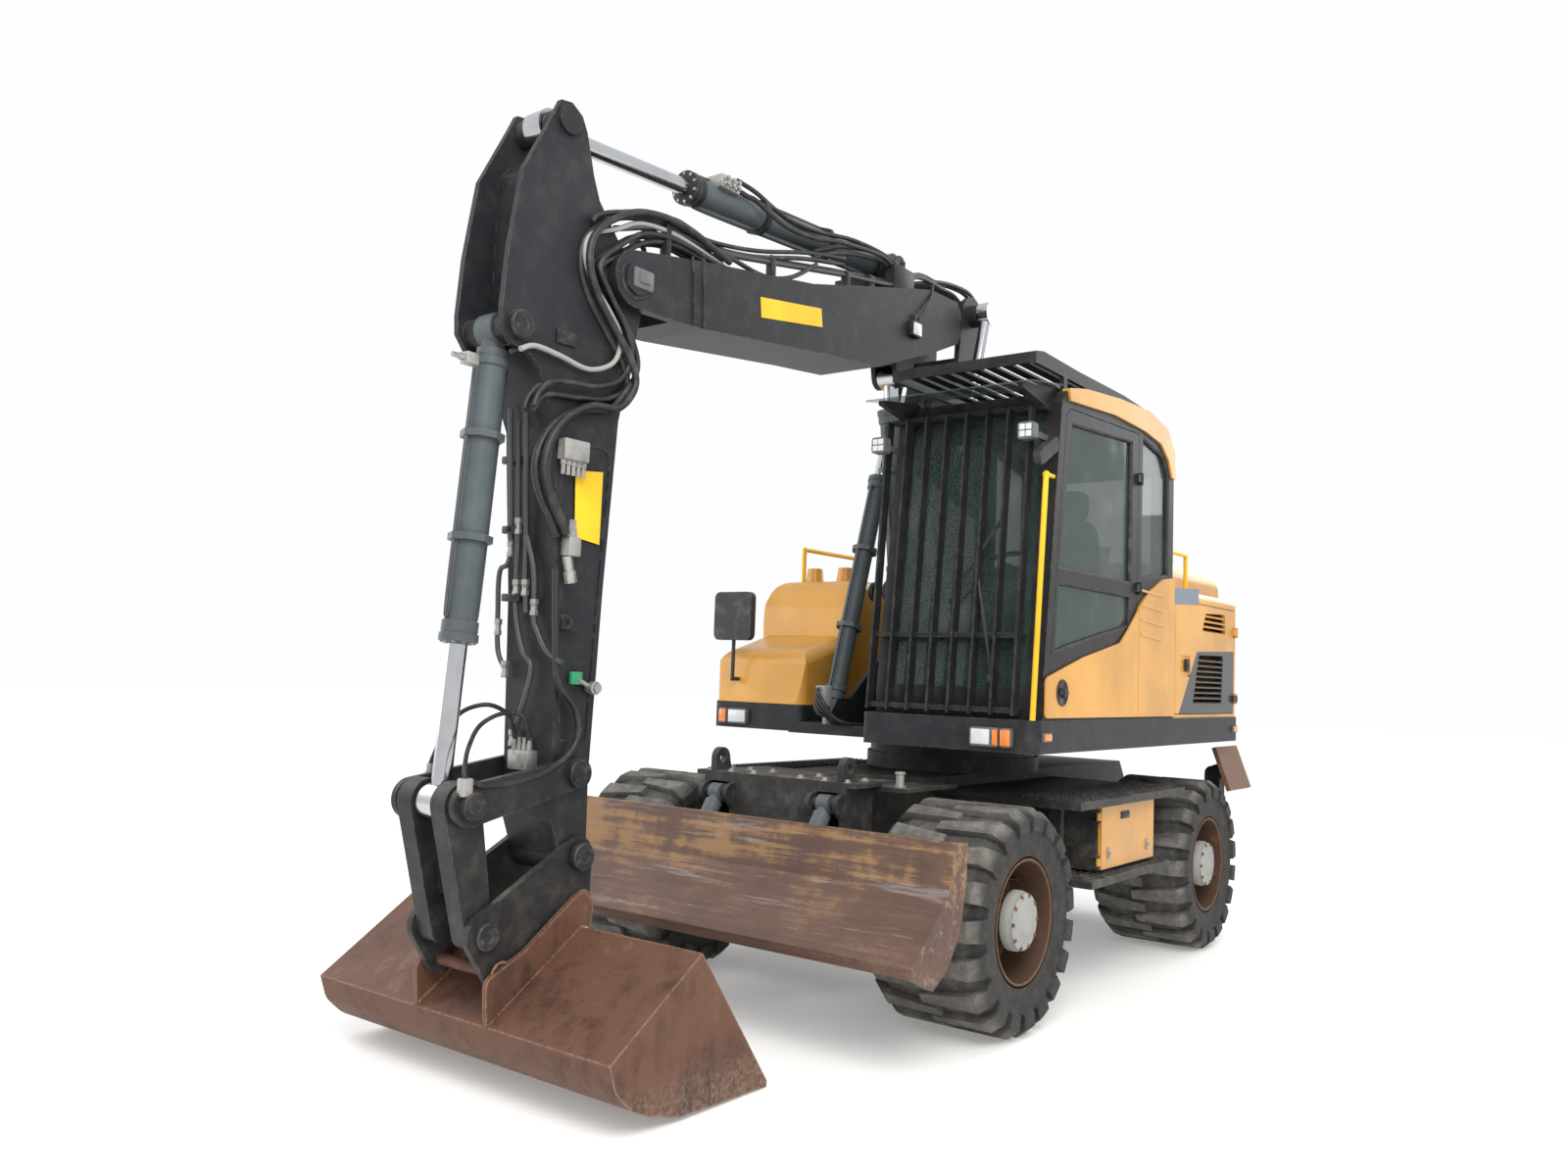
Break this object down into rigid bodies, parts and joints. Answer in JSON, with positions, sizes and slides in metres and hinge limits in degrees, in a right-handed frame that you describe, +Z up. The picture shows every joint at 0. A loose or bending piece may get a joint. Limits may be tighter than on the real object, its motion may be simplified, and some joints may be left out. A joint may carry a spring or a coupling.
{
  "type": "wheeled excavator",
  "caption": "Wheeled excavator with a two-piece boom, a ditch-cleaning bucket on a quick coupler, a dozer blade in front and two folding outriggers behind.",
  "frame": {"origin": "middle of the machine's box at ground level, where the tyres stand", "axes": "+Z up, -Y towards the dozer blade and the bucket, +X towards the cab side, the machine's left"},
  "size_m": [2.544, 5.957, 4.12],
  "materials": {
    "dark_paint": "satin dark grey paint, dusty and scuffed",
    "black_paint": "satin black paint, worn at the edges",
    "yellow_paint": "gloss yellow paint, lightly faded",
    "rail_paint": "gloss yellow paint",
    "ram_paint": "satin grey-blue paint, scratched",
    "rod_chrome": "hard chrome",
    "tyre_rubber": "worn dusty rubber",
    "rim_rust": "rusted paint",
    "blade_steel": "rusted steel with remains of yellow paint",
    "bucket_steel": "rusted steel",
    "glass": "tinted safety glass",
    "black_plastic": "moulded plastic",
    "lamp_grey": "clear lamp lens",
    "seat_fabric": "woven seat cloth",
    "engine_paint": "cast engine block"
  },
  "bodies": {
    "chassis": {"chassis_frame": "dark_paint", "end_frames": "dark_paint", "slew_pedestal": "dark_paint", "axles": "dark_paint", "steps": "dark_paint", "toolbox": "dark_paint"},
    "toolbox_door": {"toolbox_door": "yellow_paint"},
    "knuckle_left": {"knuckle_left": "dark_paint"},
    "knuckle_right": {"knuckle_right": "dark_paint"},
    "wheel_front_left": {"rim_front_left": "rim_rust", "tyre_front_left": "tyre_rubber"},
    "wheel_front_right": {"rim_front_right": "rim_rust", "tyre_front_right": "tyre_rubber"},
    "wheel_rear_left": {"rim_rear_left": "rim_rust", "tyre_rear_left": "tyre_rubber"},
    "wheel_rear_right": {"rim_rear_right": "rim_rust", "tyre_rear_right": "tyre_rubber"},
    "blade": {"blade": "blade_steel"},
    "blade_barrels": {"blade_barrels": "ram_paint"},
    "blade_rods": {"blade_rods": "rod_chrome"},
    "outrigger_left": {"outrigger_left": "black_paint"},
    "outrigger_right": {"outrigger_right": "black_paint"},
    "outrigger_barrel_left": {"outrigger_barrel_left": "ram_paint"},
    "outrigger_barrel_right": {"outrigger_barrel_right": "ram_paint"},
    "outrigger_rod_left": {"outrigger_rod_left": "rod_chrome"},
    "outrigger_rod_right": {"outrigger_rod_right": "rod_chrome"},
    "upper": {"upper_frame": "dark_paint", "counterweight": "dark_paint", "engine_housing": "yellow_paint", "right_hood": "yellow_paint", "engine": "engine_paint", "cab_shell": "black_paint", "cab_panels": "yellow_paint", "lamps": "lamp_grey", "cab_glass": "glass", "cab_seat": "seat_fabric", "cab_controls": "black_plastic", "cab_guard": "black_paint", "mirrors": "black_plastic", "handrails": "rail_paint"},
    "cab_door": {"cab_door": "black_paint", "door_panel": "yellow_paint", "door_glass": "glass"},
    "engine_hood": {"engine_hood": "yellow_paint"},
    "service_door": {"service_door": "yellow_paint"},
    "lower_boom": {"lower_boom": "dark_paint"},
    "lift_barrels": {"lift_barrels": "ram_paint"},
    "lift_rods": {"lift_rods": "rod_chrome"},
    "outer_boom": {"outer_boom": "dark_paint"},
    "adjust_barrel": {"adjust_barrel": "ram_paint"},
    "adjust_rod": {"adjust_rod": "rod_chrome"},
    "arm": {"arm": "dark_paint"},
    "arm_barrel": {"arm_barrel": "ram_paint"},
    "arm_rod": {"arm_rod": "rod_chrome"},
    "idler_links": {"idler_links": "black_paint"},
    "bucket_barrel": {"bucket_barrel": "ram_paint"},
    "bucket_rod": {"bucket_rod": "rod_chrome"},
    "bucket_link": {"bucket_link": "black_paint"},
    "bucket": {"coupler": "black_paint", "bucket": "bucket_steel"}
  },
  "joints": [
    {"name": "steer_left", "type": "hinge", "parent": "chassis", "child": "knuckle_left", "pos_m": [0.77, -0.5815, 0.525], "axis": [0, 0, 1], "range_deg": [-30, 30]},
    {"name": "steer_right", "type": "hinge", "parent": "chassis", "child": "knuckle_right", "pos_m": [-0.77, -0.5815, 0.525], "axis": [0, 0, 1], "range_deg": [-30, 30]},
    {"name": "wheel_front_left_spin", "type": "hinge", "parent": "knuckle_left", "child": "wheel_front_left", "pos_m": [0.972, -0.5815, 0.525], "axis": [1, 0, 0], "continuous": true},
    {"name": "wheel_front_right_spin", "type": "hinge", "parent": "knuckle_right", "child": "wheel_front_right", "pos_m": [-0.972, -0.5815, 0.525], "axis": [1, 0, 0], "continuous": true},
    {"name": "wheel_rear_left_spin", "type": "hinge", "parent": "chassis", "child": "wheel_rear_left", "pos_m": [0.972, 2.0185, 0.525], "axis": [1, 0, 0], "continuous": true},
    {"name": "wheel_rear_right_spin", "type": "hinge", "parent": "chassis", "child": "wheel_rear_right", "pos_m": [-0.972, 2.0185, 0.525], "axis": [1, 0, 0], "continuous": true},
    {"name": "blade_tilt", "type": "hinge", "parent": "chassis", "child": "blade", "pos_m": [0, -0.7815, 0.56], "axis": [1, 0, 0], "range_deg": [0, 42]},
    {"name": "blade_barrels_swing", "type": "hinge", "parent": "chassis", "child": "blade_barrels", "pos_m": [0, -0.9315, 1.005], "axis": [1, 0, 0], "range_deg": [0, 17.64]},
    {"name": "blade_rods_slide", "type": "slide", "parent": "blade_barrels", "child": "blade_rods", "axis": [0, -0.5727, -0.8198], "range_m": [0, 0.2424]},
    {"name": "outrigger_left_fold", "type": "hinge", "parent": "chassis", "child": "outrigger_left", "pos_m": [1.06, 2.7085, 0.38], "axis": [0, 1, 0], "range_deg": [0, 112]},
    {"name": "outrigger_barrel_left_swing", "type": "hinge", "parent": "chassis", "child": "outrigger_barrel_left", "pos_m": [0.455, 2.7085, 0.79], "axis": [0, 1, 0], "range_deg": [0, 1]},
    {"name": "outrigger_rod_left_slide", "type": "slide", "parent": "outrigger_barrel_left", "child": "outrigger_rod_left", "axis": [0.9138, 0, -0.4061], "range_m": [0, 0.3637]},
    {"name": "outrigger_right_fold", "type": "hinge", "parent": "chassis", "child": "outrigger_right", "pos_m": [-1.06, 2.7085, 0.38], "axis": [0, -1, 0], "range_deg": [0, 112]},
    {"name": "outrigger_barrel_right_swing", "type": "hinge", "parent": "chassis", "child": "outrigger_barrel_right", "pos_m": [-0.455, 2.7085, 0.79], "axis": [0, -1, 0], "range_deg": [0, 1]},
    {"name": "outrigger_rod_right_slide", "type": "slide", "parent": "outrigger_barrel_right", "child": "outrigger_rod_right", "axis": [-0.9138, 0, -0.4061], "range_m": [0, 0.3637]},
    {"name": "toolbox_door_hinge", "type": "hinge", "parent": "chassis", "child": "toolbox_door", "pos_m": [1.181, 0.4065, 0.81], "axis": [0, 0, -1], "range_deg": [0, 100]},
    {"name": "swing", "type": "hinge", "parent": "chassis", "child": "upper", "pos_m": [0, 0.9185, 1.18], "axis": [0, 0, 1], "continuous": true},
    {"name": "cab_door_hinge", "type": "hinge", "parent": "upper", "child": "cab_door", "pos_m": [1.247, 0.7805, 2.25], "axis": [0, 0, 1], "range_deg": [0, 100]},
    {"name": "engine_hood_hinge", "type": "hinge", "parent": "upper", "child": "engine_hood", "pos_m": [0, 1.5745, 2.249], "axis": [1, 0, 0], "range_deg": [0, 60]},
    {"name": "service_door_hinge", "type": "hinge", "parent": "upper", "child": "service_door", "pos_m": [1.247, 2.5505, 1.8], "axis": [0, 0, 1], "range_deg": [0, 90]},
    {"name": "lower_boom_tilt", "type": "hinge", "parent": "upper", "child": "lower_boom", "pos_m": [-0.08, 0.7785, 1.7], "axis": [1, 0, 0], "range_deg": [0, 30]},
    {"name": "lift_barrels_swing", "type": "hinge", "parent": "upper", "child": "lift_barrels", "pos_m": [-0.08, 0.0985, 1.42], "axis": [1, 0, 0], "range_deg": [0, 26.07]},
    {"name": "lift_rods_slide", "type": "slide", "parent": "lift_barrels", "child": "lift_rods", "axis": [0, 0.2916, 0.9565], "range_m": [-0.3416, 0]},
    {"name": "knee", "type": "hinge", "parent": "lower_boom", "child": "outer_boom", "pos_m": [-0.08, 0.8645, 3.933], "axis": [-1, 0, 0], "range_deg": [0, 70]},
    {"name": "adjust_barrel_swing", "type": "hinge", "parent": "lower_boom", "child": "adjust_barrel", "pos_m": [-0.08, 0.3885, 2.15], "axis": [1, 0, 0], "range_deg": [-2.54, 0]},
    {"name": "adjust_rod_slide", "type": "slide", "parent": "adjust_barrel", "child": "adjust_rod", "axis": [0, -0.148, 0.989], "range_m": [0, 0.9616]},
    {"name": "arm_swing", "type": "hinge", "parent": "outer_boom", "child": "arm", "pos_m": [-0.08, -2.1655, 3.305], "axis": [-1, 0, 0], "range_deg": [-10, 50]},
    {"name": "arm_barrel_swing", "type": "hinge", "parent": "outer_boom", "child": "arm_barrel", "pos_m": [-0.08, 0.0685, 4.045], "axis": [1, 0, 0], "range_deg": [-1.6, 0.4]},
    {"name": "arm_rod_slide", "type": "slide", "parent": "arm_barrel", "child": "arm_rod", "axis": [0, -0.9978, -0.066], "range_m": [-0.574, 0.115]},
    {"name": "bucket_curl", "type": "hinge", "parent": "arm", "child": "bucket", "pos_m": [-0.08, -2.3315, 0.861], "axis": [1, 0, 0], "range_deg": [-45, 30]},
    {"name": "idler_swing", "type": "hinge", "parent": "arm", "child": "idler_links", "pos_m": [-0.08, -2.3665, 1.197], "axis": [1, 0, 0], "range_deg": [-45, 30]},
    {"name": "bucket_link_swing", "type": "hinge", "parent": "idler_links", "child": "bucket_link", "pos_m": [-0.08, -2.8935, 1.098], "axis": [1, 0, 0], "range_deg": [-19, 28]},
    {"name": "bucket_barrel_swing", "type": "hinge", "parent": "arm", "child": "bucket_barrel", "pos_m": [-0.08, -2.7475, 2.962], "axis": [1, 0, 0], "range_deg": [-1, 1]},
    {"name": "bucket_rod_slide", "type": "slide", "parent": "bucket_barrel", "child": "bucket_rod", "axis": [0, -0.0781, -0.9969], "range_m": [-0.38, 0.26]}
  ],
  "couplings": [
    {"joint": "steer_right", "follows": "steer_left", "ratio": 1},
    {"joint": "blade_barrels_swing", "follows": "blade_tilt", "ratio": 0.42},
    {"joint": "blade_rods_slide", "follows": "blade_tilt", "m_per_rad": 0.33068},
    {"joint": "outrigger_barrel_left_swing", "follows": "outrigger_left_fold", "ratio": 0.007054},
    {"joint": "outrigger_rod_left_slide", "follows": "outrigger_left_fold", "m_per_rad": 0.1859},
    {"joint": "outrigger_barrel_right_swing", "follows": "outrigger_right_fold", "ratio": 0.007054},
    {"joint": "outrigger_rod_right_slide", "follows": "outrigger_right_fold", "m_per_rad": 0.1859},
    {"joint": "lift_barrels_swing", "follows": "lower_boom_tilt", "ratio": 0.869},
    {"joint": "lift_rods_slide", "follows": "lower_boom_tilt", "m_per_rad": -0.65222},
    {"joint": "adjust_barrel_swing", "follows": "knee", "ratio": -0.036143},
    {"joint": "adjust_rod_slide", "follows": "knee", "m_per_rad": 0.787},
    {"joint": "arm_barrel_swing", "follows": "arm_swing", "ratio": -0.03},
    {"joint": "arm_rod_slide", "follows": "arm_swing", "m_per_rad": -0.65661},
    {"joint": "idler_swing", "follows": "bucket_curl", "ratio": 0.96},
    {"joint": "bucket_link_swing", "follows": "bucket_curl", "ratio": -0.6},
    {"joint": "bucket_barrel_swing", "follows": "bucket_curl", "ratio": 0.02},
    {"joint": "bucket_rod_slide", "follows": "bucket_curl", "m_per_rad": 0.48}
  ]
}
